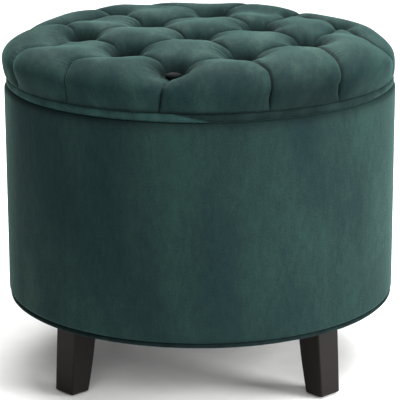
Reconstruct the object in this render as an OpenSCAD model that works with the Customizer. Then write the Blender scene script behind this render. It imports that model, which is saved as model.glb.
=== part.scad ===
// Round storage ottoman: an upholstered drum on four tapered legs, with a loose
// button-tufted lid that lifts off. Millimetres, +Z up, front towards -Y,
// origin on the floor at the centre of the drum.

/* [Drum] */
// Radius of the covered drum
drum_r = 280; // [240:5:320]
// Height of the drum, from its lower edge to the face that the lid rests on
drum_h = 310; // [240:5:380]
// Rounding of the drum's upper and lower edges
edge_r = 7; // [4:0.5:10]
// Number of posts inside the wall
post_count = 8; // [6:2:12]
// Height of the welt round the drum's lower edge
welt_h = 6; // [4:0.5:8]

/* [Legs] */
// Height of the drum's lower edge above the floor
leg_h = 102; // [60:2:160]
// Distance of a leg's outer face inside the drum's side, at the top
leg_inset = 23; // [20:1:60]
// Width of a leg across its outer face, at the top
leg_top_w = 41; // [30:1:50]
// Depth of a leg from its outer face inwards, at the top
leg_top_d = 39; // [30:1:50]
// Width of a leg at the foot
leg_foot_w = 37; // [24:1:50]
// Depth of a leg at the foot
leg_foot_d = 31; // [20:1:50]
// How far the foot stands out beyond the top
leg_flare = 7; // [0:0.5:15]

/* [Lid] */
// How far the lid's cushion stands out beyond the drum
cushion_over = 1; // [0:0.5:6]
// Height of the cushion's highest point above the lid board
cushion_h = 60; // [40:1:90]
// Radius of the level middle of the cushion, as a share of the drum's
crown_share = 0.67; // [0.4:0.01:0.75]
// Thickness of the lid board
board_t = 10; // [8:1:18]
// Depth of the tufts below the cushion's highest point
tuft_depth = 28; // [15:1:35]
// Radius of a covered button
button_r = 11; // [8:0.5:12]

/* [Hidden] */
$fn = 96;
gap = 0.1;                       // between wrapped layers of one body
lid_gap = 0.3;                   // between the lid and the drum below it
velvet_t = 2;

drum_z = leg_h;
seat_z = leg_h + drum_h;         // the drum's upper face
dust_t = 1;
panel_z = drum_z + 1 + dust_t;
panel_t = 15;
floor_z = panel_z + panel_t;
floor_top = floor_z + 3;         // upper face of the hardboard floor
ring_t = 16;
ring_top = seat_z - velvet_t;
ring_z = ring_top - ring_t;

pad_t = 7;
shell_t = 3;
pad_r = drum_r - velvet_t;       // outside of the wadding
shell_r = pad_r - pad_t;         // outside of the bent hardboard
frame_r = shell_r - shell_t;     // outside of the plywood rings
post_w = 40;
post_d = 17;
post_out = sqrt(pow(frame_r - gap, 2) - pow(post_w / 2, 2));
inner_r = post_out - post_d;     // outside of the inner wall
inner_t = 2.5;
lining_t = 1;
mouth_r = inner_r - inner_t - velvet_t;   // clear radius of the opening
turn_h = 16;                     // height of the cover turned down into the mouth
cover_z = drum_z + welt_h + gap;

leg_out_r = drum_r - leg_inset;
bolt_r = 4;
bolt_low = 60;
bolt_top = floor_z - 1;
leg_mid_r = leg_out_r - leg_top_d / 2;
leg_angles = [225, 315, 135, 45];
glide_r = 9;
glide_t = 3;
nail_r = 1.1;
nail_h = 14;
leg_steps = 8;
slice_t = 0.2;
corner_r = 2.5;
foot_bevel = 1.2;
leg_top = drum_z + 1;
leg_sweep = leg_top_d + leg_flare - leg_foot_d;    // how far the inner face comes out at the foot
foot_mid_r = leg_out_r + leg_flare - leg_foot_d / 2;

tee_r = 11;
tee_t = 1.5;
barrel_r = 5;
barrel_h = 11;

screw_r = 2;
screw_h = 34;
head_r = 4;
head_h = 2.4;
staple_w = 12;
staple_t = 0.8;
staple_leg = 8;
staple_count = 24;
staple_r = 261;

lid_z = seat_z + lid_gap;
lining_h = 2;
board_z = lid_z + lining_h;
cushion_z = board_z + board_t;
board_r = 272;
band_r = drum_r - 3.5;
band_h = 11.7;
band_in = board_r - 10;
cushion_r = drum_r + cushion_over;
crown_r = crown_share * drum_r;
rim_r = drum_r - 4.5;            // radius of the cushion where it meets the board
waist_z = cushion_z + 0.4 * cushion_h;    // height of the cushion's widest ring
crest_z = cushion_z + cushion_h;
well_z = crest_z - tuft_depth;
well_foot_r = button_r + 2;
well_top_r = 34;
button_h = 6;
twine_r = 0.9;
twine_hole_r = 3;

locator_r = mouth_r - 4.5;
locator_in = locator_r - 20;
locator_t = 16;
locator_z = lid_z - locator_t;
locator_screw_top = cushion_z - 1.5;
locator_screws = 8;
pocket_r = 9;

// The tufts stand on a slanting three by three grid.
tuft_mid = drum_r * [-0.025, -0.02];
tuft_u = drum_r * [0.327, 0.3];
tuft_v = drum_r * [-0.247, 0.38];
TUFTS = [for (i = [-1:1]) for (j = [-1:1]) tuft_mid + i * tuft_u + j * tuft_v];

POSTS = [for (i = [1:post_count]) str("wall_post_", i)];
LEGS = ["leg_front_left", "leg_front_right", "leg_rear_left", "leg_rear_right"];

// Points of an elliptical arc about (cx, cy), from one angle to another, after its first point.
function arc(cx, cy, a, b, from, to, steps) =
    [for (i = [1:steps]) let (t = from + (to - from) * i / steps) [cx + a * cos(t), cy + b * sin(t)]];

// Flat ring with square edges.
module ring(r_in, r_out, z, h) {
    translate([0, 0, z])
        difference() {
            cylinder(h = h, r = r_out);
            translate([0, 0, -1]) cylinder(h = h + 2, r = r_in);
        }
}

// Half section of a wall whose two outer corners are rounded by r.
module wall_section(r_in, r_out, z_low, z_high, r) {
    difference() {
        translate([r_in, z_low]) square([r_out - r_in, z_high - z_low]);
        translate([r_out - r, z_high - r]) corner_waste(r);
        translate([r_out - r, z_low + r]) mirror([0, 1]) corner_waste(r);
    }
}

module corner_waste(r) {
    difference() {
        square(r + 1);
        circle(r = r);
    }
}

module around(radius, count, turn = 0) {
    for (i = [0:count - 1]) rotate([0, 0, turn + 360 * i / count]) translate([radius, 0, 0]) children();
}

// Wood screw standing upright, point at z = 0, with a countersunk head.
module screw(length, clearance = 0) {
    cylinder(h = length, r = screw_r + clearance);
    translate([0, 0, length - head_h])
        cylinder(h = head_h, r1 = screw_r + clearance, r2 = head_r + clearance);
}

module frame_screw_set(clearance) {
    around(inner_r + post_d / 2, post_count) {
        translate([0, 0, ring_top - screw_h]) screw(screw_h, clearance);
        translate([0, 0, panel_z + screw_h]) mirror([0, 0, 1]) screw(screw_h, clearance);
    }
}

module locating_screw_set(clearance) {
    around((locator_r + locator_in) / 2, locator_screws)
        translate([0, 0, locator_screw_top]) mirror([0, 0, 1]) screw(locator_screw_top - locator_z, clearance);
}

// ---- legs ----

// One level of a leg: t is 0 at the foot and 1 at the top. The outer face is straight and
// the inner face curves in towards the foot.
module leg_slice(t, z, inset) {
    outer = leg_out_r + leg_flare * (1 - t) - inset;
    inner = leg_out_r - leg_top_d + leg_sweep * pow(1 - t, 1.5) + inset;
    half = (leg_foot_w + (leg_top_w - leg_foot_w) * t) / 2 - inset;
    for (x = [inner + corner_r, outer - corner_r], side = [-1, 1])
        translate([x, side * (half - corner_r), z]) cylinder(h = slice_t, r = corner_r, $fn = 24);
}

module leg(i) {
    color("#241f1e")
        rotate([0, 0, leg_angles[i]])
            difference() {
                hull() {
                    leg_slice(0, glide_t, foot_bevel);
                    for (t = [0:1 / leg_steps:1])
                        leg_slice(t, glide_t + foot_bevel + (leg_top - glide_t - foot_bevel - slice_t) * t, 0);
                }
                translate([leg_mid_r, 0, bolt_low]) cylinder(h = leg_h, r = bolt_r + 0.05);
                translate([foot_mid_r, 0, 0]) cylinder(h = glide_t + nail_h + 0.5, r = nail_r + 0.05);
            }
}

module leg_glides() {
    color("#1a1a1a")
        around(foot_mid_r, 4, 45) {
            cylinder(h = glide_t, r = glide_r);
            cylinder(h = glide_t + nail_h, r = nail_r);
        }
}

module leg_bolts() {
    color("silver")
        around(leg_mid_r, 4, 45) translate([0, 0, bolt_low]) cylinder(h = bolt_top - bolt_low, r = bolt_r);
}

module leg_tee_nuts() {
    color("silver")
        around(leg_mid_r, 4, 45)
            difference() {
                union() {
                    translate([0, 0, floor_z - tee_t]) cylinder(h = tee_t, r = tee_r);
                    translate([0, 0, floor_z - barrel_h]) cylinder(h = barrel_h, r = barrel_r);
                }
                cylinder(h = seat_z, r = bolt_r + 0.05);
            }
}

// ---- frame of the drum ----

module bottom_panel() {
    color("burlywood")
        difference() {
            translate([0, 0, panel_z]) cylinder(h = panel_t, r = frame_r);
            around(leg_mid_r, 4, 45) {
                cylinder(h = seat_z, r = bolt_r + 0.5);
                translate([0, 0, floor_z - barrel_h - 0.5]) cylinder(h = barrel_h, r = barrel_r + 0.05);
                translate([0, 0, floor_z - tee_t - 0.1]) cylinder(h = tee_t + 1, r = tee_r + 0.2);
            }
            frame_screw_set(0.05);
        }
}

module top_ring() {
    color("burlywood")
        difference() {
            ring(inner_r + gap, frame_r, ring_z, ring_t);
            frame_screw_set(0.05);
        }
}

module wall_post(i) {
    color("wheat")
        difference() {
            rotate([0, 0, 360 * i / post_count])
                translate([inner_r + gap, -post_w / 2, floor_z]) cube([post_d - gap, post_w, ring_z - floor_z]);
            frame_screw_set(0.05);
        }
}

module frame_screws() {
    color("silver") frame_screw_set(0);
}

// ---- skins of the drum ----

module wall_shell() {
    color("#8a6a48") ring(frame_r + gap, shell_r, cover_z + velvet_t + gap, ring_top - cover_z - velvet_t - 2 * gap);
}

module wall_wadding() {
    color("whitesmoke")
        rotate_extrude()
            wall_section(shell_r + gap, pad_r - gap, cover_z + velvet_t + gap, ring_top - gap, edge_r - velvet_t);
}

module side_cover() {
    color("#2f4a49")
        rotate_extrude()
            difference() {
                wall_section(mouth_r, drum_r, cover_z, seat_z, edge_r);
                wall_section(mouth_r + velvet_t, pad_r, cover_z + velvet_t, ring_top, edge_r - velvet_t);
                translate([mouth_r - 1, cover_z - 1])
                    square([frame_r + gap - mouth_r + 1, ring_top - turn_h - cover_z]);
            }
}

module bottom_welt() {
    color("#22393a")
        rotate_extrude()
            wall_section(frame_r + gap, drum_r - 1.5, drum_z, drum_z + welt_h, welt_h / 2);
}

module inner_wall() {
    color("#8a6a48") ring(inner_r - inner_t, inner_r, floor_z, ring_top - floor_z - gap);
}

module wall_lining() {
    color("#17191b")
        ring(mouth_r + velvet_t - lining_t, mouth_r + velvet_t - gap, floor_top + lining_t + gap,
             ring_top - turn_h - floor_top - lining_t - 1.5);
}

module floor_board() {
    color("#8a6a48") translate([0, 0, floor_z]) cylinder(h = floor_top - floor_z, r = inner_r - inner_t - gap);
}

module floor_lining() {
    color("#17191b") translate([0, 0, floor_top]) cylinder(h = lining_t, r = inner_r - inner_t - gap);
}

module dust_cover() {
    color("#141414")
        difference() {
            translate([0, 0, panel_z - dust_t]) cylinder(h = dust_t, r = frame_r - 2);
            around(leg_mid_r, 4, 45) cylinder(h = seat_z, r = bolt_r + 0.5);
        }
}

module dust_cover_staples() {
    color("silver")
        around(staple_r, staple_count, 7.5)
            translate([-staple_t / 2, -staple_w / 2, panel_z - dust_t - staple_t]) {
                cube([staple_t, staple_w, staple_t]);
                cube([staple_t, staple_t, staple_leg]);
                translate([0, staple_w - staple_t, 0]) cube([staple_t, staple_t, staple_leg]);
            }
}

// ---- lid ----

// Half section of the cushion, drawn in by inset and run down by drop below its foot.
module cushion_section(inset, drop) {
    polygon(concat(
        [[0, cushion_z - drop], [rim_r - inset, cushion_z - drop]],
        arc(rim_r - inset, waist_z, cushion_r - rim_r, waist_z - cushion_z, -90, 0, 6),
        arc(crown_r, waist_z, cushion_r - inset - crown_r, crest_z - waist_z - inset, 0, 90, 12),
        [[0, crest_z - inset]]
    ));
}

// The cushion with a round well at each tuft.
module cushion_form(inset, drop) {
    slope = (well_top_r - well_foot_r) / tuft_depth;
    rise = tuft_depth + inset + 1;
    difference() {
        rotate_extrude() cushion_section(inset, drop);
        for (p = TUFTS)
            translate([p.x, p.y, well_z - inset])
                cylinder(h = rise, r1 = well_foot_r + inset, r2 = well_foot_r + inset + slope * rise);
    }
}

module at_tufts() {
    for (p = TUFTS) translate([p.x, p.y, 0]) children();
}

module lid_cover() {
    color("#35504f")
        difference() {
            cushion_form(0, 0);
            cushion_form(velvet_t, 1);
            at_tufts() cylinder(h = seat_z + 200, r = twine_r + 0.6);
        }
}

module lid_foam() {
    color("ivory")
        difference() {
            cushion_form(velvet_t + gap, 0);
            at_tufts() cylinder(h = seat_z + 200, r = twine_r + 0.6);
        }
}

module covered_buttons() {
    color("#2b4443")
        at_tufts()
            translate([0, 0, well_z])
                rotate_extrude()
                    polygon(concat([[0, 0], [button_r, 0]], arc(0, 2, button_r, button_h - 2, 0, 90, 8)));
}

module tufting_twines() {
    color("beige")
        at_tufts() translate([0, 0, board_z]) cylinder(h = well_z - board_z, r = twine_r);
}

module twine_staples() {
    color("silver")
        at_tufts() translate([-staple_w / 2, -staple_t / 2, board_z - staple_t]) cube([staple_w, staple_t, staple_t]);
}

module lid_board() {
    color("burlywood")
        difference() {
            translate([0, 0, board_z]) cylinder(h = board_t, r = board_r);
            at_tufts() cylinder(h = seat_z + 200, r = twine_hole_r);
            locating_screw_set(0.05);
        }
}

module lid_band() {
    color("#2b4443")
        rotate_extrude()
            difference() {
                wall_section(band_in, band_r, lid_z, lid_z + band_h, 3.8);
                translate([band_in - 1, board_z]) square([board_r + gap - band_in + 1, board_t + 5]);
            }
}

module lid_lining() {
    color("#17191b")
        difference() {
            translate([0, 0, lid_z]) cylinder(h = lining_h, r = band_in - gap);
            at_tufts() translate([0, 0, board_z - 1]) cylinder(h = 5, r = pocket_r);
            locating_screw_set(0.05);
        }
}

module locating_ring() {
    color("#17191b")
        difference() {
            ring(locator_in, locator_r, locator_z, locator_t);
            locating_screw_set(0.05);
        }
}

module locating_screws() {
    color("silver") locating_screw_set(0);
}

for (i = [0:3]) leg(i);
for (i = [0:post_count - 1]) wall_post(i);
leg_glides();
leg_bolts();
leg_tee_nuts();
bottom_panel();
top_ring();
frame_screws();
wall_shell();
wall_wadding();
side_cover();
bottom_welt();
inner_wall();
wall_lining();
floor_board();
floor_lining();
dust_cover();
dust_cover_staples();
lid_board();
lid_band();
lid_lining();
locating_ring();
locating_screws();
lid_foam();
lid_cover();
covered_buttons();
tufting_twines();
twine_staples();
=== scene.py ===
import math

import bpy
import numpy as np
from mathutils import Matrix, Vector


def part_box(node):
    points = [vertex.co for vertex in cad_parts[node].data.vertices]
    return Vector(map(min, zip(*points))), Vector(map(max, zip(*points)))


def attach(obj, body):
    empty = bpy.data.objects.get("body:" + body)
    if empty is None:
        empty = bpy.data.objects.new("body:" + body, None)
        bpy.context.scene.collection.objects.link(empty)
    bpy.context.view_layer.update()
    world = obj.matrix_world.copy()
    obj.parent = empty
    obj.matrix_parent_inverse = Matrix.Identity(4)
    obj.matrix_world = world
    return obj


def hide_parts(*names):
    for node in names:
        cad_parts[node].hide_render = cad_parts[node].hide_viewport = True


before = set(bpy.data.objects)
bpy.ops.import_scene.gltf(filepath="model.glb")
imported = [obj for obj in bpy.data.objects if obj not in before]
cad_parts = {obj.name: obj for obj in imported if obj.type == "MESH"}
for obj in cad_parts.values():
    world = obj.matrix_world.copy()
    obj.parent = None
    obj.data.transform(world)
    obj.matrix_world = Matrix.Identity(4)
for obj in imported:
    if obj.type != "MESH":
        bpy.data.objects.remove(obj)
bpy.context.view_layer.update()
MM = 0.001


# ---------------------------------------------------------------- legs
# Four tapered square legs, cut from solid birch, stained espresso and sprayed with a satin
# lacquer. Each is screwed up into the drum by a hanger bolt.
def linear(hexcode):
    """sRGB hex to linear RGBA: c/12.92 up to 0.04045, and ((c + 0.055)/1.055)^2.4 above."""
    channels = [int(hexcode[i : i + 2], 16) / 255 for i in (1, 3, 5)]
    return [c / 12.92 if c <= 0.04045 else ((c + 0.055) / 1.055) ** 2.4 for c in channels] + [1.0]


def add(material, kind, sockets=None, **settings):
    """Adds one shader node with its settings; a socket takes a value or another node's output."""
    node = material.node_tree.nodes.new("ShaderNode" + kind)
    for name, value in settings.items():
        setattr(node, name, value)
    for name, value in (sockets or {}).items():
        if isinstance(value, bpy.types.NodeSocket):
            material.node_tree.links.new(value, node.inputs[name])
        else:
            node.inputs[name].default_value = value
    return node


def begin(name):
    """A new node material: its shader, and the node that gives Object coordinates in metres."""
    material = bpy.data.materials.new(name)
    material.use_nodes = True
    shader = material.node_tree.nodes["Principled BSDF"]
    place = add(material, "TexCoord").outputs["Object"]
    return material, shader, place


def ramp(material, fac, stops):
    """A colour ramp over fac, from stops of (position, hex)."""
    node = add(material, "ValToRGB", {"Fac": fac})
    while len(node.color_ramp.elements) < len(stops):
        node.color_ramp.elements.new(0.5)
    for element, (at, colour) in zip(node.color_ramp.elements, stops):
        element.position = at
        element.color = linear(colour)
    return node.outputs["Color"]


def join(material, shader, colour=None, rough=None, bump=None):
    """Links colour, roughness and bump outputs to the shader."""
    for name, value in (("Base Color", colour), ("Roughness", rough), ("Normal", bump)):
        if value is not None:
            material.node_tree.links.new(value, shader.inputs[name])


def espresso_lacquered_birch():
    """Near-black brown with faint upright grain, 1.5 mm wide, under a satin lacquer."""
    material, shader, place = begin("espresso_lacquered_birch")
    upright = add(material, "Mapping", {"Vector": place, "Scale": (1, 1, 0.06)}).outputs["Vector"]
    grain = add(material, "TexNoise", {"Vector": upright, "Scale": 650, "Detail": 4, "Roughness": 0.6})
    grain = grain.outputs["Fac"]
    colour = ramp(material, grain, [(0.3, "#0C0808"), (0.55, "#120D0C"), (0.75, "#191311")])
    rough = add(material, "MapRange", {"Value": grain, "To Min": 0.42, "To Max": 0.58})
    edge = add(material, "Bevel", {"Radius": 1.2 * MM}, samples=4)
    bump = add(material, "Bump", {"Height": grain, "Strength": 0.12, "Distance": 0.4 * MM})
    material.node_tree.links.new(edge.outputs["Normal"], bump.inputs["Normal"])
    shader.inputs["Specular IOR Level"].default_value = 0.12
    join(material, shader, colour, rough.outputs["Result"], bump.outputs["Normal"])
    return material


def finish_node(material, *names):
    """Gives CAD nodes a material in every slot."""
    for name in names:
        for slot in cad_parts[name].material_slots:
            slot.material = material


LEGS = ("leg_front_left", "leg_front_right", "leg_rear_left", "leg_rear_right")
finish_node(espresso_lacquered_birch(), *LEGS)


# ---------------------------------------------------------------- glides and fasteners
# Moulded nylon glides nailed under the legs; hanger bolts, tee nuts, wood screws and staples of
# bright zinc-plated steel.
def moulded_nylon():
    """Black nylon as it leaves the mould: dull, with a fine even texture of 0.5 mm grain."""
    material, shader, place = begin("moulded_black_nylon")
    pits = add(material, "TexNoise", {"Vector": place, "Scale": 2000, "Detail": 2}).outputs["Fac"]
    colour = ramp(material, pits, [(0.3, "#131313"), (0.7, "#1E1E1E")])
    bump = add(material, "Bump", {"Height": pits, "Strength": 0.2, "Distance": 0.2 * MM})
    shader.inputs["Roughness"].default_value = 0.55
    shader.inputs["IOR"].default_value = 1.53
    join(material, shader, colour, bump=bump.outputs["Normal"])
    return material


def zinc_plated_steel():
    """Bright zinc over rolled steel: pale grey metal, clouded in 3 mm spangles."""
    material, shader, place = begin("zinc_plated_steel")
    cloud = add(material, "TexNoise", {"Vector": place, "Scale": 330, "Detail": 3}).outputs["Fac"]
    colour = ramp(material, cloud, [(0.3, "#A9ADAF"), (0.7, "#C9CCCD")])
    rough = add(material, "MapRange", {"Value": cloud, "To Min": 0.25, "To Max": 0.45})
    shader.inputs["Metallic"].default_value = 1.0
    join(material, shader, colour, rough.outputs["Result"])
    return material


finish_node(moulded_nylon(), "leg_glides")
finish_node(
    zinc_plated_steel(),
    "leg_bolts",
    "leg_tee_nuts",
    "frame_screws",
    "dust_cover_staples",
    "locating_screws",
    "twine_staples",
)


# ---------------------------------------------------------------- frame of the drum
# Birch plywood panel and ring joined by eight sawn pine posts, with bent hardboard tacked on inside
# and out. The lid board is of the same plywood.
def sawn_board(name, light, dark, stretch, grain_mm):
    """Bare board: soft light and dark grain, drawn out where stretch is small, and a dry matt face."""
    material, shader, place = begin(name)
    along = add(material, "Mapping", {"Vector": place, "Scale": stretch}).outputs["Vector"]
    noise = {"Vector": along, "Scale": 1 / (grain_mm * MM), "Detail": 5, "Distortion": 0.6}
    grain = add(material, "TexNoise", noise).outputs["Fac"]
    colour = ramp(material, grain, [(0.3, dark), (0.7, light)])
    bump = add(material, "Bump", {"Height": grain, "Strength": 0.2, "Distance": 0.4 * MM})
    shader.inputs["Roughness"].default_value = 0.75
    join(material, shader, colour, bump=bump.outputs["Normal"])
    return material


plywood = sawn_board("rotary_cut_birch_ply", "#D3B78C", "#B8945F", (1, 0.08, 1), 6)
hardboard = sawn_board("pressed_hardboard", "#7B5636", "#5E3F26", (1, 1, 1), 2)
POSTS = [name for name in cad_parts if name.startswith("wall_post_")]
finish_node(plywood, "bottom_panel", "top_ring", "lid_board")
finish_node(sawn_board("sawn_pine", "#DDBE8A", "#BE9560", (1, 1, 0.05), 5), *POSTS)
finish_node(hardboard, "wall_shell", "inner_wall", "floor_board")


# ---------------------------------------------------------------- wadding
# White polyester wadding wrapped round the hardboard and glued, hidden under the cover. Its
# softness rounds the drum's edges.
def polyester_wadding():
    """Off-white fluffy fibre: bright, fully matt, in soft lumps of about 8 mm."""
    material, shader, place = begin("polyester_wadding")
    fluff = add(material, "TexNoise", {"Vector": place, "Scale": 125, "Detail": 6, "Roughness": 0.7})
    fluff = fluff.outputs["Fac"]
    colour = ramp(material, fluff, [(0.3, "#D9D8D2"), (0.7, "#F1F0EC")])
    bump = add(material, "Bump", {"Height": fluff, "Strength": 0.5, "Distance": 1.5 * MM})
    shader.inputs["Roughness"].default_value = 0.95
    join(material, shader, colour, bump=bump.outputs["Normal"])
    return material


finish_node(polyester_wadding(), "wall_wadding")


# ---------------------------------------------------------------- side cover
# One width of cotton-backed polyester velvet pulled round the wadding, joined by a plain seam at
# the back, turned over the mouth and stapled under the lower edge.
def surface(name, points, uv, poles=(), ring=False):
    """A mesh from a grid of points, rows by columns by xyz, in metres, closed round its columns.

    Each cell of the grid is one face. poles names the rows, 0 or -1, that are a single point, the
    middle of a fan of triangles. ring also joins the last row to the first. uv has one column
    more than points, and with ring one row more, in metres of cloth.
    """
    rows, cols = points.shape[:2]
    first, last = (1 if 0 in poles else 0), (rows - 1 if -1 in poles else rows)
    i, j = np.meshgrid(np.arange(first, last if ring else last - 1), np.arange(cols), indexing="ij")
    corners = [np.stack([(i, j), (i, j + 1), (i + 1, j + 1), (i + 1, j)], axis=-1).reshape(2, -1, 4)]
    j = np.arange(cols)
    if 0 in poles:
        corners.append(np.stack([(j * 0, j), (j * 0 + 1, j + 1), (j * 0 + 1, j)], axis=-1))
    if -1 in poles:
        low = j * 0 + rows - 2
        corners.append(np.stack([(low + 1, j), (low, j), (low, j + 1)], axis=-1))
    ends = {0: (last - first) * cols, rows - 1: (last - first) * cols + (0 in poles)}
    faces, flat = [], []
    for row, col in corners:
        index = (row % rows - first) * cols + col % cols
        for pole in poles:
            index = np.where(row == pole % rows, ends[pole % rows], index)
        faces += index.tolist()
        flat.append(uv[row, col].reshape(-1, 2))
    vertices = [points[first:last].reshape(-1, 3)]
    vertices += [points[pole % rows, :1] for pole in sorted(poles, reverse=True)]
    mesh = bpy.data.meshes.new(name)
    mesh.from_pydata(np.vstack(vertices).tolist(), [], faces)
    layer = mesh.uv_layers.new(name="cloth")
    layer.data.foreach_set("uv", np.vstack(flat).astype(np.float32).ravel())
    mesh.polygons.foreach_set("use_smooth", np.ones(len(mesh.polygons), bool))
    mesh.update()
    piece = bpy.data.objects.new(name, mesh)
    bpy.context.scene.collection.objects.link(piece)
    return piece


def waves(seed, count, lowest, highest):
    """Smooth noise about 1 high: a seeded sum of sine waves in an angle and a second parameter,
    with whole numbers of turns in the angle, so that it closes on itself round a ring."""
    draw = np.random.default_rng(seed)
    turns = draw.integers(lowest, highest + 1, count)
    slant = draw.uniform(-1, 1, count) * highest
    phase = draw.uniform(0, 2 * np.pi, count)

    def at(angle, along):
        total = sum(np.sin(n * angle + s * along + p) for n, s, p in zip(turns, slant, phase))
        return total * math.sqrt(2 / count)

    return at


def arc(centre, radius, start, end, steps):
    """Points of a circular arc of a half section, with angles in degrees from the outward radius."""
    t = np.radians(np.linspace(start, end, steps))
    return np.stack([centre[0] + radius * np.cos(t), centre[1] + radius * np.sin(t)], axis=1)


def spaced(path, step):
    """The same path with points every step or less, kept at its corners."""
    pieces = [path[:1]]
    for a, b in zip(path[:-1], path[1:]):
        count = max(1, int(np.ceil(np.hypot(*(b - a)) / step)))
        pieces.append(a + (b - a) * np.arange(1, count + 1)[:, None] / count)
    return np.vstack(pieces)


def revolve(path, cols):
    """Radius and height down a half section, and the angles round the axis to sweep it through."""
    angle = np.linspace(0, 2 * np.pi, cols, endpoint=False)
    return path[:, None, 0], path[:, None, 1], angle[None, :]


def spread(radius, height, angle):
    """Radius, height and angle grids to xyz: x = r sin a and y = r cos a, with a from the back."""
    radius, height, angle = np.broadcast_arrays(radius, height, angle)
    return np.stack([radius * np.sin(angle), radius * np.cos(angle), height], axis=-1)


def cloth_uv(path, cols, radius):
    """Flat lay of a cloth wrapped on a drum: metres round it, and metres along its section."""
    run = np.concatenate([[0], np.cumsum(np.hypot(*np.diff(path, axis=0).T))])
    across = np.linspace(0, 2 * np.pi * radius, cols + 1)
    return np.stack(np.meshgrid(across, run), axis=-1)


def velvet(name, mid, dark, light, flat=True, nap_mm=70, sheen=0.22):
    """Short-pile polyester velvet: deep colour face on, paler where the pile is seen side on.

    Broad soft patches, where a hand has brushed the pile another way, lie on upright strokes. The
    pile itself is far finer than the eye sees; it is drawn as 2.5 mm specks, the finest that show.
    """
    material, shader, place = begin(name)
    if flat:
        place = add(material, "UVMap", uv_map="cloth").outputs["UV"]
    upright = add(material, "Mapping", {"Vector": place, "Scale": (1, 0.35, 1)}).outputs["Vector"]
    brushed = {"Vector": upright, "Scale": 1 / (nap_mm * MM), "Detail": 3, "Distortion": 0.4}
    patch = add(material, "TexNoise", brushed).outputs["Fac"]
    stroke = add(material, "TexNoise", {"Vector": upright, "Scale": 130, "Detail": 4, "Roughness": 0.7})
    pile = add(material, "TexNoise", {"Vector": place, "Scale": 400, "Detail": 3, "Roughness": 0.65})
    stroke, pile = stroke.outputs["Fac"], pile.outputs["Fac"]
    nap = add(material, "Math", {0: stroke, 1: 0.55, 2: patch}, operation="MULTIPLY_ADD")
    nap = nap.outputs["Value"]
    fleck = add(material, "Math", {0: pile, 1: 0.6, 2: nap}, operation="MULTIPLY_ADD")
    fleck = fleck.outputs["Value"]
    level = add(material, "MapRange", {"Value": fleck, "From Min": 0.86, "From Max": 1.3})
    level = level.outputs["Result"]
    colour = ramp(material, level, [(0.0, dark), (0.5, mid), (1.0, light)])
    rough = add(material, "MapRange", {"Value": level, "To Min": 0.95, "To Max": 0.7})
    soft = add(material, "Bump", {"Height": nap, "Strength": 0.35, "Distance": 1.2 * MM})
    bump = add(material, "Bump", {"Height": pile, "Strength": 0.45, "Distance": 0.7 * MM})
    material.node_tree.links.new(soft.outputs["Normal"], bump.inputs["Normal"])
    shader.inputs["Specular IOR Level"].default_value = 0.06
    shader.inputs["Sheen Weight"].default_value = sheen
    shader.inputs["Sheen Roughness"].default_value = 0.3
    shader.inputs["Sheen Tint"].default_value = linear("#86C2B4")
    # Painted shade: each point's painted_shade attribute, 0 to 1, darkens the colour towards near-black
    # #030707.
    painted_shade = add(material, "Attribute", attribute_name="painted_shade").outputs["Fac"]
    into_shade = {"Fac": painted_shade, "Color1": colour, "Color2": linear("#030707")}
    colour = add(material, "MixRGB", into_shade).outputs["Color"]
    join(material, shader, colour, rough.outputs["Result"], bump.outputs["Normal"])
    return material


def shade(piece, share):
    """Stores the painted shade at each point, 0 to 1: in folds and pits, under the lid, round the
    cushion's edge and over its front right, and on the lid band before its lap. The velvet reads it as
    its painted_shade attribute."""
    piece.data.attributes.new("painted_shade", "FLOAT", "POINT").data.foreach_set("value", share)


drum_velvet = velvet("teal_velvet_drum", "#182A29", "#142426", "#1D332F", nap_mm=110)

low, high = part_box("side_cover")
DRUM_R = high.x / MM
COVER_Z = low.z / MM
SEAT_Z = high.z / MM
MOUTH_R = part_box("wall_lining")[1].x / MM - 1.9  # the velvet and its glue stand off the inner wall
TURNED_IN = 19.2  # how far the cover goes down inside the mouth
EDGE = 7.0  # the radius of the drum's soft edges
LIP = 3.0  # and of the mouth's
COLS = 360  # faces round a piece


def side_cover():
    """Drawn down inside the mouth, over its rounded rim, down the side and in under the lower edge.

    The side keeps the drum's radius, less soft hollows under half a millimetre deep where the
    wadding gives, and the back seam draws it in by 1.2 mm over 6 mm of width. Its top is in the
    shade of the lid, darkened by 0.45 exp(-(depth/9)^2).
    """
    path = np.vstack(
        [
            [[MOUTH_R, SEAT_Z - TURNED_IN]],
            arc((MOUTH_R + LIP, SEAT_Z - LIP), LIP, 180, 90, 6),
            arc((DRUM_R - EDGE, SEAT_Z - EDGE), EDGE, 90, 0, 10),
            arc((DRUM_R - EDGE, COVER_Z + EDGE), EDGE, 0, -90, 10),
            [[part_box("bottom_panel")[1].x / MM + 1, COVER_Z]],
        ]
    )
    path = spaced(path, 4)
    radius, height, angle = revolve(path, COLS)
    on_side = np.clip((radius - DRUM_R + EDGE) / EDGE, 0, 1) ** 2
    give = waves(11, 14, 1, 9)(angle, (height - COVER_Z) / DRUM_R)
    seam = np.exp(-((np.minimum(angle, 2 * np.pi - angle) * DRUM_R / 3) ** 2))
    radius = radius - on_side * (0.25 + 0.16 * give + 1.2 * seam)
    grid = spread(radius, height, angle)
    piece = surface("side_cover_velvet", grid * MM, cloth_uv(path, COLS, DRUM_R) * MM)
    under_lid = 0.45 * np.exp(-(((SEAT_Z - height) / 9) ** 2))
    shade(piece, np.broadcast_to(under_lid, radius.shape).ravel())
    wall = piece.modifiers.new("cloth", "SOLIDIFY")
    wall.thickness = 1.6 * MM
    wall.offset = -1
    piece.data.materials.append(drum_velvet)
    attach(piece, "base")
    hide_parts("side_cover")


side_cover()


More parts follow.
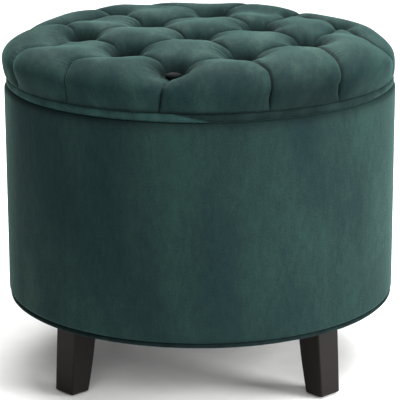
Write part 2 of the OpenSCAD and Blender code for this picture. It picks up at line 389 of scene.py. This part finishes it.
# ---------------------------------------------------------------- lower welt
# A roll of the same velvet round the drum's lower edge, sewn on the bias over a 5 mm cord and
# stapled up against the panel.
# Painted shade: the welt's velvet is coloured darker than the drum's, for the shade under the drum's
# edge.
shaded_welt_velvet = velvet("teal_velvet_lower_welt_painted_shade", "#0E1A1B", "#0A1415", "#122122", nap_mm=25)
WELT_TRIM = 0.4  # how much thinner the roll is where it is stapled
CLEAR = 0.2  # a cut edge stays this far from what is beside it


def bottom_welt():
    """A closed loop section: a half round outside, flat where it meets the panel, swept round. It is
    puckered by 0.15 mm every 9 mm and waves in and out by about 0.3 mm."""
    low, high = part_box("bottom_welt")
    outer, floor, top = high.x / MM, low.z / MM, high.z / MM
    half = (top - floor) / 2
    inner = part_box("bottom_panel")[1].x / MM + CLEAR
    path = np.vstack(
        [
            [[inner, floor + WELT_TRIM]],
            arc((outer - half, floor + half), half, -90, 90, 14),
            [[inner, top - WELT_TRIM], [inner, floor + WELT_TRIM]],
        ]
    )
    path = spaced(path, 3)[::-1]
    radius, height, angle = revolve(path[:-1], COLS)
    proud = np.clip((radius - outer + 2 * half) / (2 * half), 0, 1)
    pucker = 0.15 * np.sin(190 * angle + 4 * height)
    radius = radius + proud * (pucker + 0.3 * waves(5, 8, 2, 14)(angle, 0) - 0.3)
    grid = spread(radius, height, angle)
    piece = surface("bottom_welt_roll", grid * MM, cloth_uv(path, COLS, outer) * MM, ring=True)
    piece.data.materials.append(shaded_welt_velvet)
    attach(piece, "base")
    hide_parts("bottom_welt")


bottom_welt()


# ---------------------------------------------------------------- linings
# Black plain-weave polyester lining glued to the inner wall and the storage floor, the same cloth
# under the lid board, and a black spun dust cover stapled under the drum.
def plain_weave_lining(name, dark, light, thread_mm, flat=True):
    """Plain weave: a dull face of crossing threads, drawn coarser than the real 0.3 mm to show. On
    the spun cloth the crossing lines are its embossed grid."""
    material, shader, cloth = begin(name)
    if flat:
        cloth = add(material, "UVMap", uv_map="cloth").outputs["UV"]
    thread = {"Vector": cloth, "Scale": 1 / (thread_mm * MM) / 3, "Distortion": 0.6}
    warp = add(material, "TexWave", thread, bands_direction="X").outputs["Fac"]
    weft = add(material, "TexWave", thread, bands_direction="Y").outputs["Fac"]
    weave = add(material, "Math", {0: warp, 1: weft}, operation="MULTIPLY").outputs["Value"]
    slub = add(material, "TexNoise", {"Vector": cloth, "Scale": 60, "Detail": 4}).outputs["Fac"]
    mix = add(material, "Math", {0: slub, 1: 0.8, 2: weave}, operation="MULTIPLY_ADD")
    colour = ramp(material, mix.outputs["Value"], [(0.3, dark), (1.0, light)])
    bump = add(material, "Bump", {"Height": weave, "Strength": 0.35, "Distance": 0.3 * MM})
    shader.inputs["Roughness"].default_value = 0.85
    shader.inputs["Sheen Weight"].default_value = 0.15
    join(material, shader, colour, bump=bump.outputs["Normal"])
    return material


lining_cloth = plain_weave_lining("black_polyester_lining", "#101214", "#25282B", 1.0)
spun_cloth = plain_weave_lining("black_spunbond_dust_cloth", "#0B0B0C", "#19191A", 2.5)


def disc(name, node, height, rise, seed, material, faces_up):
    """A round of cloth as wide as its CAD node and 0.8 mm thick. It lies in soft waves up to rise
    high that die out at its middle and its edge: 4 s^2 (1 - s^2), with s the share of the radius."""
    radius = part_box(node)[1].x / MM - CLEAR
    rings = np.linspace(0, radius, 40)
    r, z, angle = revolve(np.stack([rings, np.full(len(rings), height)], axis=1), 120)
    share = r / radius
    swell = (1 + waves(seed, 10, 1, 7)(angle, 3 * share)) / 2
    grid = spread(r, z + 4 * share**2 * (1 - share**2) * rise * swell, angle)
    flat = np.concatenate([grid[..., :2], grid[:, :1, :2]], axis=1)
    piece = surface(name, grid * MM, flat * MM, poles=(0,))
    if not faces_up:
        piece.data.flip_normals()
    cloth = piece.modifiers.new("cloth", "SOLIDIFY")
    cloth.thickness = 0.8 * MM
    cloth.offset = -1
    piece.data.materials.append(material)
    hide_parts(node)
    return piece


def wall_lining():
    """A sleeve of cloth 0.4 mm thick, r = R - 0.9 mm less soft waves of 0.3 mm, glued to the inner
    wall up to the velvet that is turned in."""
    low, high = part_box("wall_lining")
    radius, face = high.x / MM, high.x / MM - 0.9
    path = spaced(np.array([[face, high.z / MM], [face, low.z / MM + CLEAR]]), 9)
    r, z, angle = revolve(path, 180)
    r = r - 0.3 * waves(23, 12, 2, 16)(angle, (z - path[0, 1]) / radius)
    piece = surface("wall_lining_cloth", spread(r, z, angle) * MM, cloth_uv(path, 180, radius) * MM)
    piece.data.flip_normals()
    cloth = piece.modifiers.new("cloth", "SOLIDIFY")
    cloth.thickness = 0.4 * MM
    cloth.offset = -1
    piece.data.materials.append(lining_cloth)
    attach(piece, "base")
    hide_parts("wall_lining")


wall_lining()
on_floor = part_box("floor_lining")[1].z / MM
floor_cloth = disc("floor_lining_cloth", "floor_lining", on_floor, 1.2, 31, lining_cloth, faces_up=True)
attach(floor_cloth, "base")
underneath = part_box("dust_cover")[0].z / MM
dust_cloth = disc("dust_cover_cloth", "dust_cover", underneath, 0.5, 37, spun_cloth, faces_up=False)
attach(dust_cloth, "base")


# ---------------------------------------------------------------- lid board and its lining
# The lid board's underside is closed by the same lining, and a cloth-covered plywood ring screwed
# through it drops into the drum's mouth and keeps the lid central.
under_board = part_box("lid_lining")[0].z / MM + 0.1
lid_cloth = disc("lid_lining_cloth", "lid_lining", under_board, 0.6, 41, lining_cloth, faces_up=False)
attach(lid_cloth, "lid")
ring_cloth = plain_weave_lining("covered_ring_lining", "#101214", "#25282B", 1.0, flat=False)
finish_node(ring_cloth, "locating_ring")


# ---------------------------------------------------------------- welt band of the lid
# A flattened roll of velvet stapled round the edge of the lid board. Its free end laps over the
# other near the front, a little to the right.
JOIN_ANGLE = math.radians(175)  # where the lap is, from the back
JOIN_WIDTH = math.radians(0.8)  # the step at the lap
LAP_FADE = math.radians(12)  # how far behind the lap the band still stands proud
DARK_REACH = math.radians(105)  # and how far before it the painted shade reaches
BAND_SWELL, BAND_RISE = 1.0, 0.5  # how far the roll stands past its CAD band, outwards and upwards
BAND_CLOTH, SNUG = 1.8, 0.3  # the turn under the board: its thickness, and its gap to the board
# Painted light: the roll's velvet is coloured lighter than the drum's, for the top light its rounded
# face catches.
lit_roll_velvet = velvet("teal_velvet_lid_roll_painted_light", "#1F3635", "#182B2B", "#26403E", nap_mm=25, sheen=0.32)


def lid_band():
    """A closed loop section: a full round outside the board's edge, x = cos(t)^0.75 and z = sin(t),
    and a flat turn of cloth under the board, up to the lining.

    Its face rolls about 0.5 mm in and out in long waves. Behind the lap it stands 1.2 mm proud,
    fading out along it. Before the lap, round the front right, it carries painted shade.
    """
    low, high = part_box("lid_band")
    outer, floor, top = high.x / MM + BAND_SWELL, low.z / MM, high.z / MM + BAND_RISE
    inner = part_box("lid_board")[1].x / MM + SNUG
    turned_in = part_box("lid_lining")[1].x / MM + SNUG
    half, sole = (top - floor) / 2, floor + 0.1
    t = np.radians(np.linspace(-90, 90, 21))
    x = inner + (outer - inner) * np.cos(t) ** 0.75
    bulge = np.stack([x, floor + half + half * np.sin(t)], axis=1)
    under = [[inner, sole + BAND_CLOTH], [turned_in, sole + BAND_CLOTH], [turned_in, sole]]
    path = spaced(np.vstack([bulge, under, bulge[:1]]), 2.5)[::-1]
    r, z, angle = revolve(path[:-1], COLS * 2)
    proud = np.clip((r - inner) / (outer - inner), 0, 1)
    past = angle - (JOIN_ANGLE + (z - floor) / 60)
    behind = np.clip(past / JOIN_WIDTH, 0, 1) * np.exp(-np.clip(past, 0, 9) / LAP_FADE)
    r = r + proud * (0.45 * waves(3, 10, 3, 22)(angle, (z - floor) / 40) - 0.5 + 1.2 * behind)
    grid = spread(r, z, angle)
    piece = surface("lid_band_roll", grid * MM, cloth_uv(path, COLS * 2, outer) * MM, ring=True)
    before = np.clip(-past / JOIN_WIDTH, 0, 1) * np.exp(-((past / DARK_REACH) ** 4))
    shade(piece, 0.72 * np.broadcast_to(before, r.shape).ravel())
    piece.data.materials.append(lit_roll_velvet)
    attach(piece, "lid")
    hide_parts("lid_band")


lid_band()


# ---------------------------------------------------------------- tufted cushion
# A velvet cover drawn down through thick soft foam by nine buttons. The spare cloth is folded
# under in straight pleats between neighbouring buttons, and from the outer ones over the edge.
low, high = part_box("lid_cover")
CUSHION_R, RIM_Z, CREST_Z = high.x / MM, low.z / MM, high.z / MM
CROWN_R = 0.67 * DRUM_R  # the level crown
RIM_R = DRUM_R - 4.5  # where the cover meets the board
WAIST_Z = RIM_Z + 0.4 * (CREST_Z - RIM_Z)  # the widest ring
PIT = CREST_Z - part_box("covered_buttons")[0].z / MM  # down to the buttons' undersides

# The buttons stand in a skewed lattice: its middle, and the steps from one row to the next.
middle = DRUM_R * np.array([-0.025, -0.02])
step_u = DRUM_R * np.array([0.327, 0.3])
step_v = DRUM_R * np.array([-0.247, 0.38])
BUTTONS = {(i, j): middle + i * step_u + j * step_v for i in (-1, 0, 1) for j in (-1, 0, 1)}

# Behind the nine, near the far edge, the folds meet at four more points with no button of their own.
GATHERS = {
    (-1, 2): np.array([-214.0, 92.0]),
    (0, 2): np.array([-128.0, 182.0]),
    (2, -1): np.array([208.0, 104.0]),
    (2, 0): np.array([134.0, 202.0]),
}

# The pleats from the outer points over the edge: where each runs on the spread-out cloth, as
# (distance from the middle, degrees from the front towards the right).
EDGE_PLEATS = {
    (-1, -1): [[(277, -8.5), (320, -9.5)]],
    (-1, 0): [[(190, -40), (240, -44), (266, -41), (294, -38.8), (320, -38)]],
    (0, -1): [[(205, 24), (245, 24), (272, 22.6), (300, 21.2), (320, 21)]],
    (-1, 1): [[(219, -72), (254, -73), (278, -69.5), (301, -65.5), (320, -62)]],
    (1, -1): [[(212, 58), (242, 52.5), (270, 48), (296, 44.5), (320, 44)]],
    (-1, 2): [[(262, -108), (320, -110)]],
    (0, 2): [[(262, -139), (320, -142)]],
    (1, 1): [[(255, -160), (320, -157)], [(250, 165), (320, 162)]],
    (2, 0): [[(262, 147), (320, 145)]],
    (2, -1): [[(236, 101), (255, 87), (284, 82), (320, 81)]],
}

# A fold between two tuft points, and one over the edge: how deep it is away from its ends, how far
# its slopes reach, how high the cloth laps, and how far it stays deep from its start and its end,
# all in mm. The nearest pleat stays deep for longer.
INNER_FOLD = (8.5, 34, 0.0, 20, 20)
EDGE_PLEAT = (3.8, 24, 1.1, 28, 0)
NEAREST_PLEAT = (3.8, 24, 1.1, 44, 0)
AT_A_TUFT = 20  # how deep every fold is where it meets a tuft
GATHER_DEPTH = 19
DOME = 2.5  # how far the pillows fall from their tops to their folds
PIT_SHADE, NEAREST_PIT_SHADE = 23, 31  # how far round a button it is dark

# Painted shade darkens the front right of the edge: where, and how far to each side, in
# radians from the front, and the run where it begins.
FRONT_SHADE_TURN, FRONT_SHADE_REACH, FRONT_SHADE_FROM = 0.6, 0.45, 245

# Where the pillows lie lower than the rest, or fuller: (place on the spread-out cloth, mm, reach).
SLACK = [
    ((-112, -130), 8.7, 45),
    ((-185, -45), 12.8, 55),
    ((58, -150), 4.7, 45),
    ((-38, -232), 10.0, 32),
    ((-150, 122), 12.8, 50),
    ((270, -5), 5.2, 75),
    ((-88, 54), 6.8, 48),
    ((-5, 128), 9.5, 50),
    ((-77, 200), 8.6, 42),
    ((140, 145), 9.5, 50),
    ((88, 190), 10.5, 40),
    ((80, 26), 4.5, 45),
    ((138, -84), 2.7, 45),
    ((20, -57), -1.2, 45),
    ((208, 48), 9.0, 40),
]

# And round the back of the edge: how much lower, by degrees from the back towards the right.
EDGE_SLACK = {80: -1.0, 64: -4.7, 48: -1.3, 32: -7.5, 16: -5.2, 0: 1.3}
EDGE_SLACK |= {-16: -4.6, -32: -6.6, -48: -4.6, -64: -2.0, -80: 2.4}
EDGE_SLACK_RUN, EDGE_SLACK_REACH = 258, 42


def on_cloth(run, degrees):
    """A point of the spread-out cloth from its distance from the middle and its angle."""
    a = math.radians(degrees)
    return run * np.array([math.sin(a), -math.cos(a)])


for from_back, fall in EDGE_SLACK.items():
    place = np.round(on_cloth(EDGE_SLACK_RUN, 180 - from_back))
    SLACK.append((place, fall, EDGE_SLACK_REACH))


def cushion_section():
    """The half section without its tufts: a level crown, a quarter ellipse out and down to the widest
    ring, and another in to the board. Returns the run along it, its radius and its height."""
    t = np.linspace(0, np.pi / 2, 60)
    crown = (np.linspace(0, CROWN_R, 60), np.full(60, CREST_Z))
    shoulder = (CROWN_R + (CUSHION_R - CROWN_R) * np.sin(t), WAIST_Z + (CREST_Z - WAIST_Z) * np.cos(t))
    under = (RIM_R + (CUSHION_R - RIM_R) * np.cos(t), WAIST_Z - (WAIST_Z - RIM_Z) * np.sin(t))
    radius, height = np.hstack([crown, np.array(shoulder)[:, 1:], np.array(under)[:, 1:]])
    run = np.concatenate([[0], np.cumsum(np.hypot(np.diff(radius), np.diff(height)))])
    return run, radius, height


RUN, RUN_R, RUN_Z = cushion_section()
EDGE_RUN = RUN[-1]


def folds():
    """Every fold, as the points along it and its numbers, as in INNER_FOLD."""
    found, points = [], BUTTONS | GATHERS
    for (i, j), a in points.items():
        for other in ((i + 1, j), (i, j + 1)):
            if other in points:
                found.append(([a, points[other]], *INNER_FOLD))
    for start, pleats in EDGE_PLEATS.items():
        numbers = NEAREST_PLEAT if start == (-1, -1) else EDGE_PLEAT
        for pleat in pleats:
            found.append(([points[start]] + [on_cloth(*point) for point in pleat], *numbers))
    return found


def rounded(share):
    """The side of a pillow, 1 at the bottom of a fold and 0 on top, steep at the bottom and level at
    the top: 1 - (1 - s^1.7)^(1/1.7)."""
    return 1 - (1 - np.clip(share, 0, 1) ** 1.7) ** (1 / 1.7)


def nearest(x, y, points):
    """Distance from a line of points, the same with a sign for its side, how far along the line
    the nearest point of it lies, and the line's length."""
    best, side, along, start = np.full_like(x, 1e9), np.zeros_like(x), np.zeros_like(x), 0.0
    for a, b in zip(points[:-1], points[1:]):
        length = np.hypot(*(b - a))
        ux, uy = (b - a) / length
        t = np.clip((x - a[0]) * ux + (y - a[1]) * uy, 0, length)
        d = np.hypot(x - a[0] - t * ux, y - a[1] - t * uy)
        across = (x - a[0]) * uy - (y - a[1]) * ux
        closer = d < best
        side = np.where(closer, across, side)
        along = np.where(closer, start + t, along)
        best = np.where(closer, d, best)
        start += length
    return best, side, along, start


def along_folds(x, y):
    """What the folds do: the sum of their valleys' cubes, their creases, how far the cloth laps and
    gathers over them, the dome of the pillows between them, and how dark they are.

    A valley is depth * rounded(1 - d/reach), AT_A_TUFT deep at its ends. The dome is
    DOME (1 - d/60)^2, and a crease 3 exp(-d/1.7). Short gathers, cos(along/1.5), cross the edge
    pleats here and there. Painted shade lies along a fold: a soft dark band and a sharp dark line.
    """
    valleys, crease, lap, dome, dark = np.zeros((5,) + x.shape)
    wander = waves(17, 8, 1, 5)(x / 60, y / 60)
    for n, (points, level, reach, overlap, start, end) in enumerate(folds()):
        d, side, along, length = nearest(x, y, points)
        pull = np.exp(-((along / start) ** 2))
        if end:
            pull = pull + np.exp(-(((length - along) / end) ** 2))
        depth = level + (AT_A_TUFT - level) * pull
        wide = reach + 8 * pull
        valleys += (depth * rounded(1 - (d + 0.4 * wander) / wide)) ** 3
        dome = np.maximum(dome, DOME * np.clip(1 - d / 60, 0, 1) ** 2)
        crease = np.maximum(crease, (3.0 if end else 2.2) * np.exp(-d / 1.7))
        near = np.exp(-d / 7) * np.clip(along / 40, 0, 1)
        lap = np.where(d < 30, lap + overlap * np.tanh(side / 1.2) * near, lap)
        if end:
            dark = np.maximum(dark, (0.35 + 0.4 * pull) * np.exp(-((d / 6) ** 2)))
            dark = np.maximum(dark, (0.6 + 0.4 * pull) * np.exp(-((d / 1.8) ** 2)))
        else:
            dark = np.maximum(dark, 0.95 * np.exp(-((d / 1.4) ** 2)))
            patchy = np.clip(np.sin(along / 19 + 2.4 * n), 0, 1) ** 2 * np.clip(along / 60, 0, 1)
            gather = np.cos(along / 1.5 + np.abs(side) / 2.6) * patchy * np.exp(-np.abs(d - 5) / 7)
            lap = np.where(d < 30, lap + 0.45 * gather, lap)
    return valleys, crease, lap, dome, dark


def round_tufts(x, y):
    """What the buttons and gathers do: the sum of their pits' cubes, the puckers that run out of
    the buttons' pits, and how dark they are.

    A button's pit is (PIT + 1.5) / (1 + ((d - 10)/15)^2), and a gather's GATHER_DEPTH / (1 + (d/16)^2).
    The puckers are cos(15 turn), wandering, and strongest 30 mm out. Each pit is darkened with painted
    shade.
    """
    pits, puckers, dark = np.zeros((3,) + x.shape)
    for n, (spot, centre) in enumerate(BUTTONS.items()):
        dx, dy = x - centre[0], y - centre[1]
        d, turn = np.hypot(dx, dy), np.arctan2(dy, dx)
        pits += ((PIT + 1.5) / (1 + (np.maximum(d - 10, 0) / 15) ** 2)) ** 3
        ripple = np.cos(15 * turn + 2 * np.sin(3 * turn + n)) * (1 + np.sin(2 * turn + 3 * n)) / 2
        puckers += 0.5 * ripple * np.exp(-(((d - 30) / 14) ** 2)) * np.clip((d - 12) / 8, 0, 1)
        shaded = NEAREST_PIT_SHADE if spot == (-1, -1) else PIT_SHADE
        dark = np.maximum(dark, 0.9 * np.exp(-((d / shaded) ** 4)))
    for centre in GATHERS.values():
        d = np.hypot(x - centre[0], y - centre[1])
        pits += (GATHER_DEPTH / (1 + (d / 16) ** 2)) ** 3
        dark = np.maximum(dark, 0.6 * np.exp(-((d / 10) ** 2)))
    return pits, puckers, dark


def tuft_depth(x, y):
    """How far the cover is drawn in, in mm, at a point of the spread-out cloth, and how dark it is
    there, from 0 to 1. Valleys and pits join as the cube root of the sum of their cubes, and with
    the dome go no deeper than the buttons. Creases fade out and the shade deepens with the depth."""
    valleys, crease, lap, dome, dark_folds = along_folds(x, y)
    pits, puckers, dark_tufts = round_tufts(x, y)
    depth = np.minimum((valleys + pits) ** (1 / 3) + dome, PIT + 0.3)
    dark = np.maximum(dark_folds, dark_tufts)
    dark = np.maximum(dark, 0.8 * np.clip((depth - 8) / 16, 0, 1))
    return depth + crease * np.clip(1 - depth / PIT, 0, 1) + lap + puckers, dark


def stuffing(x, y):
    """The foam isn't even: how much fuller it is than its section, in mm. It is fullest at the back
    left, less each place that lies slack, a exp(-(d/reach)^2). It dies out under the edge and at
    the buttons."""
    run, turn = np.hypot(x, y), np.arctan2(x, -y)
    uneven = (1.8 + 4.2 * np.cos(turn + math.radians(148))) * np.clip(run / 120, 0.3, 1)
    for (at_x, at_y), fall, reach in SLACK:
        uneven = uneven - fall * np.exp(-((x - at_x) ** 2 + (y - at_y) ** 2) / reach**2)
    for centre in BUTTONS.values():
        uneven = uneven * np.clip((np.hypot(x - centre[0], y - centre[1]) - 9) / 22, 0, 1)
    return uneven * np.clip((EDGE_RUN - run) / 50, 0, 1)


def tufted(inset, rows, cols):
    """The cushion's grid, its flat lay and its shade, for a surface that lies inset mm in.

    A point of the spread-out cloth is middle (1 - w) + s (sin a, cos a), with w rising from 0 to 1
    over the first 120 mm, so that the pole lies in the middle button's pit. Its distance from the
    middle is the run along the section, and the depth of the tufts is taken off along the section's
    normal. Columns crowd towards the edge pleats. The last rows close it flat on the board.
    """
    pleats = np.radians([180 - pleat[-1][1] for pleats in EDGE_PLEATS.values() for pleat in pleats])
    fine = np.linspace(0, 2 * np.pi, 7200, endpoint=False)
    off = np.abs((fine[:, None] - pleats + np.pi) % (2 * np.pi) - np.pi)
    crowd = np.cumsum(1 + 2.5 * np.exp(-((off / math.radians(3)) ** 2)).sum(axis=1))
    angle = np.interp(np.linspace(0, crowd[-1], cols, endpoint=False), crowd, fine)[None, :]
    s = np.linspace(0, EDGE_RUN, rows)[:, None]
    w = np.clip(s / 120, 0, 1)
    w = w * w * (3 - 2 * w)
    x = middle[0] * (1 - w) + s * np.sin(angle)
    y = middle[1] * (1 - w) + s * np.cos(angle)
    run = np.maximum(np.hypot(x, y), 1e-6)
    radius, height = np.interp(run, RUN, RUN_R), np.interp(run, RUN, RUN_Z)
    out = np.interp(run - 1, RUN, RUN_Z) - np.interp(run + 1, RUN, RUN_Z)
    up = np.maximum(np.interp(run + 1, RUN, RUN_R) - np.interp(run - 1, RUN, RUN_R), 0)
    size = np.maximum(np.hypot(out, up), 1e-6)
    depth, dark = tuft_depth(x, y)
    depth = depth * np.clip((EDGE_RUN - run) / 12, 0.2, 1) - stuffing(x, y) + inset
    # Painted shade: a dark line round the cushion's lower edge, where it tucks in over the band.
    dark = np.maximum(dark, 0.85 * np.exp(-((np.maximum(EDGE_RUN - run, 0) / 5) ** 2)))
    # Painted shade over the front right of the edge.
    off_turn = (np.arctan2(x, -y) - FRONT_SHADE_TURN) / FRONT_SHADE_REACH
    dark = np.maximum(dark, 0.62 * np.clip((run - FRONT_SHADE_FROM) / 50, 0, 1) * np.exp(-(off_turn**2)))
    radius = radius - np.where(up > 0, out / size, 1) * depth
    board = RIM_Z + 0.3 + inset / 2
    height = np.maximum(height - up / size * depth, board)
    top = np.stack([radius * x / run, radius * y / run, height], axis=-1)
    flat = np.stack([x, y], axis=-1)
    shares = np.linspace(1, 0, 5)[1:, None, None]
    base = np.concatenate([top[-1:, :, :2] * shares, np.full((4, cols, 1), board)], axis=-1)
    grid = np.concatenate([top, base])
    flat = np.concatenate([flat, flat[-1:] * (2 - shares)])
    dark = np.concatenate([dark, np.zeros((4, cols))])
    return grid, np.concatenate([flat, flat[:, :1]], axis=1), dark


cushion_velvet = velvet("teal_velvet_cushion", "#182C2B", "#132425", "#1F3631", nap_mm=60)


def tufted_cushion():
    """The tufted grid itself, 200 rows from the middle to the board."""
    grid, flat, dark = tufted(inset=0.0, rows=200, cols=720)
    piece = surface("tufted_cushion", grid * MM, flat * MM, poles=(0, -1))
    shade(piece, np.concatenate([dark[1:-1].ravel(), [dark[0, 0], 0]]))
    piece.data.materials.append(cushion_velvet)
    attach(piece, "lid")
    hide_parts("lid_cover")


tufted_cushion()


# ---------------------------------------------------------------- foam, buttons and twines
# The foam takes the shape that the cover pulls it to. Each 22 mm button is covered in the same
# velvet and tied down by a waxed twine stapled under the board.
def cut_foam():
    """Cream polyurethane foam: open cells about 1 mm wide, matt, yellowing a little."""
    material, shader, place = begin("cut_polyurethane_foam")
    cells = add(material, "TexVoronoi", {"Vector": place, "Scale": 1000}).outputs["Distance"]
    colour = ramp(material, cells, [(0.0, "#E3D8B4"), (0.8, "#CFC197")])
    bump = add(material, "Bump", {"Height": cells, "Strength": 0.3, "Distance": 0.5 * MM})
    shader.inputs["Roughness"].default_value = 0.9
    join(material, shader, colour, bump=bump.outputs["Normal"])
    return material


def waxed_twine():
    """Waxed linen: pale buff, with a twist every 4 mm and a slight gloss."""
    material, shader, place = begin("waxed_linen_twine")
    strands = {"Vector": place, "Scale": 160, "Distortion": 1}
    twist = add(material, "TexWave", strands, bands_direction="DIAGONAL").outputs["Fac"]
    colour = ramp(material, twist, [(0.2, "#A8946C"), (0.8, "#C9B78E")])
    shader.inputs["Roughness"].default_value = 0.5
    join(material, shader, colour)
    return material


def foam():
    """The same surface 4.5 mm further in, as the velvet presses it."""
    grid, flat, _ = tufted(inset=4.5, rows=110, cols=360)
    piece = surface("cushion_foam", grid * MM, flat * MM, poles=(0, -1))
    piece.data.materials.append(cut_foam())
    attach(piece, "lid")
    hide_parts("lid_foam")


BUTTON_TEALS = ("#060B0C", "#04080A", "#081011")  # darker, as the buttons lie in the shade
foam()
button_velvet = velvet("teal_velvet_buttons", *BUTTON_TEALS, flat=False, nap_mm=20, sheen=0)
finish_node(button_velvet, "covered_buttons")
finish_node(waxed_twine(), "tufting_twines")


# ---------------------------------------------------------------- floor, light and camera
# A pale seamless floor, a dim even sky, and four large soft lamps: one overhead, one low on the
# right, one behind and one in front.
def pale_floor():
    """Painted studio floor: off-white, matt, with a faint mottle about 40 mm wide."""
    material, shader, place = begin("painted_studio_floor")
    mottle = add(material, "TexNoise", {"Vector": place, "Scale": 25, "Detail": 3})
    join(material, shader, ramp(material, mottle.outputs["Fac"], [(0.3, "#F3F3F2"), (0.7, "#F8F8F7")]))
    shader.inputs["Roughness"].default_value = 0.9
    return material


def floor():
    """A level square grid, 18 m wide, of 12 by 12 faces."""
    reach, cells = 9.0, 12
    ticks = np.linspace(-1, 1, cells + 1) * reach
    x, y = np.meshgrid(ticks, ticks)
    vertices = np.stack([x, y, np.zeros_like(x)], axis=-1).reshape(-1, 3)
    i, j = np.meshgrid(np.arange(cells), np.arange(cells), indexing="ij")
    at = (i * (cells + 1) + j).ravel()
    faces = np.stack([at, at + 1, at + cells + 2, at + cells + 1], axis=1)
    mesh = bpy.data.meshes.new("studio_floor")
    mesh.from_pydata(vertices.tolist(), [], faces.tolist())
    mesh.materials.append(pale_floor())
    piece = bpy.data.objects.new("studio_floor", mesh)
    bpy.context.scene.collection.objects.link(piece)


def lamp(name, place, size, power, aim):
    """A square area lamp at place, turned to look at aim."""
    light = bpy.data.lights.new(name, "AREA")
    light.size = size
    light.energy = power
    holder = bpy.data.objects.new(name, light)
    turned = (Vector(aim) - Vector(place)).to_track_quat("-Z", "Y").to_matrix().to_4x4()
    holder.matrix_world = Matrix.Translation(place) @ turned
    bpy.context.scene.collection.objects.link(holder)


def sky(colour, strength):
    """An even light from all round."""
    world = bpy.data.worlds.new("studio")
    world.use_nodes = True
    world.node_tree.nodes["Background"].inputs["Color"].default_value = linear(colour)
    world.node_tree.nodes["Background"].inputs["Strength"].default_value = strength
    bpy.context.scene.world = world


def camera():
    """Stands ten drum radii off, 3.24 above the drum's lower edge, looking 15.35 degrees down, from 1.7
    degrees to the right of the front. The lens is 179.4 mm on a 36 mm sensor."""
    turn, down, roll = math.radians(1.69), math.radians(15.351), math.radians(-0.175)
    away, up = 10 * DRUM_R * MM, 3.241 * DRUM_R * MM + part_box("bottom_welt")[0].z
    lens = bpy.data.cameras.new("camera")
    lens.lens = 179.4
    lens.shift_x = -0.0007
    lens.shift_y = -0.0145
    lens.clip_end = 60
    eye = bpy.data.objects.new("camera", lens)
    where = Matrix.Translation((away * math.sin(turn), -away * math.cos(turn), up))
    tilted = Matrix.Rotation(math.pi / 2 - down, 4, "X") @ Matrix.Rotation(roll, 4, "Z")
    eye.matrix_world = where @ Matrix.Rotation(turn, 4, "Z") @ tilted
    bpy.context.scene.collection.objects.link(eye)
    bpy.context.scene.camera = eye


floor()
sky("#FFFFFF", 0.16)
AIM = (0, 0, 0.3)
lamp("key", (1.2, -0.2, 3.2), 2.6, 150, AIM)
lamp("side", (3.4, -1.2, 1.2), 1.8, 215, AIM)
lamp("back", (-0.2, 2.4, 2.7), 2.6, 150, AIM)
lamp("front", (-0.2, -3.8, 2.6), 2.8, 90, AIM)
camera()
bpy.context.scene.view_settings.view_transform = "Standard"
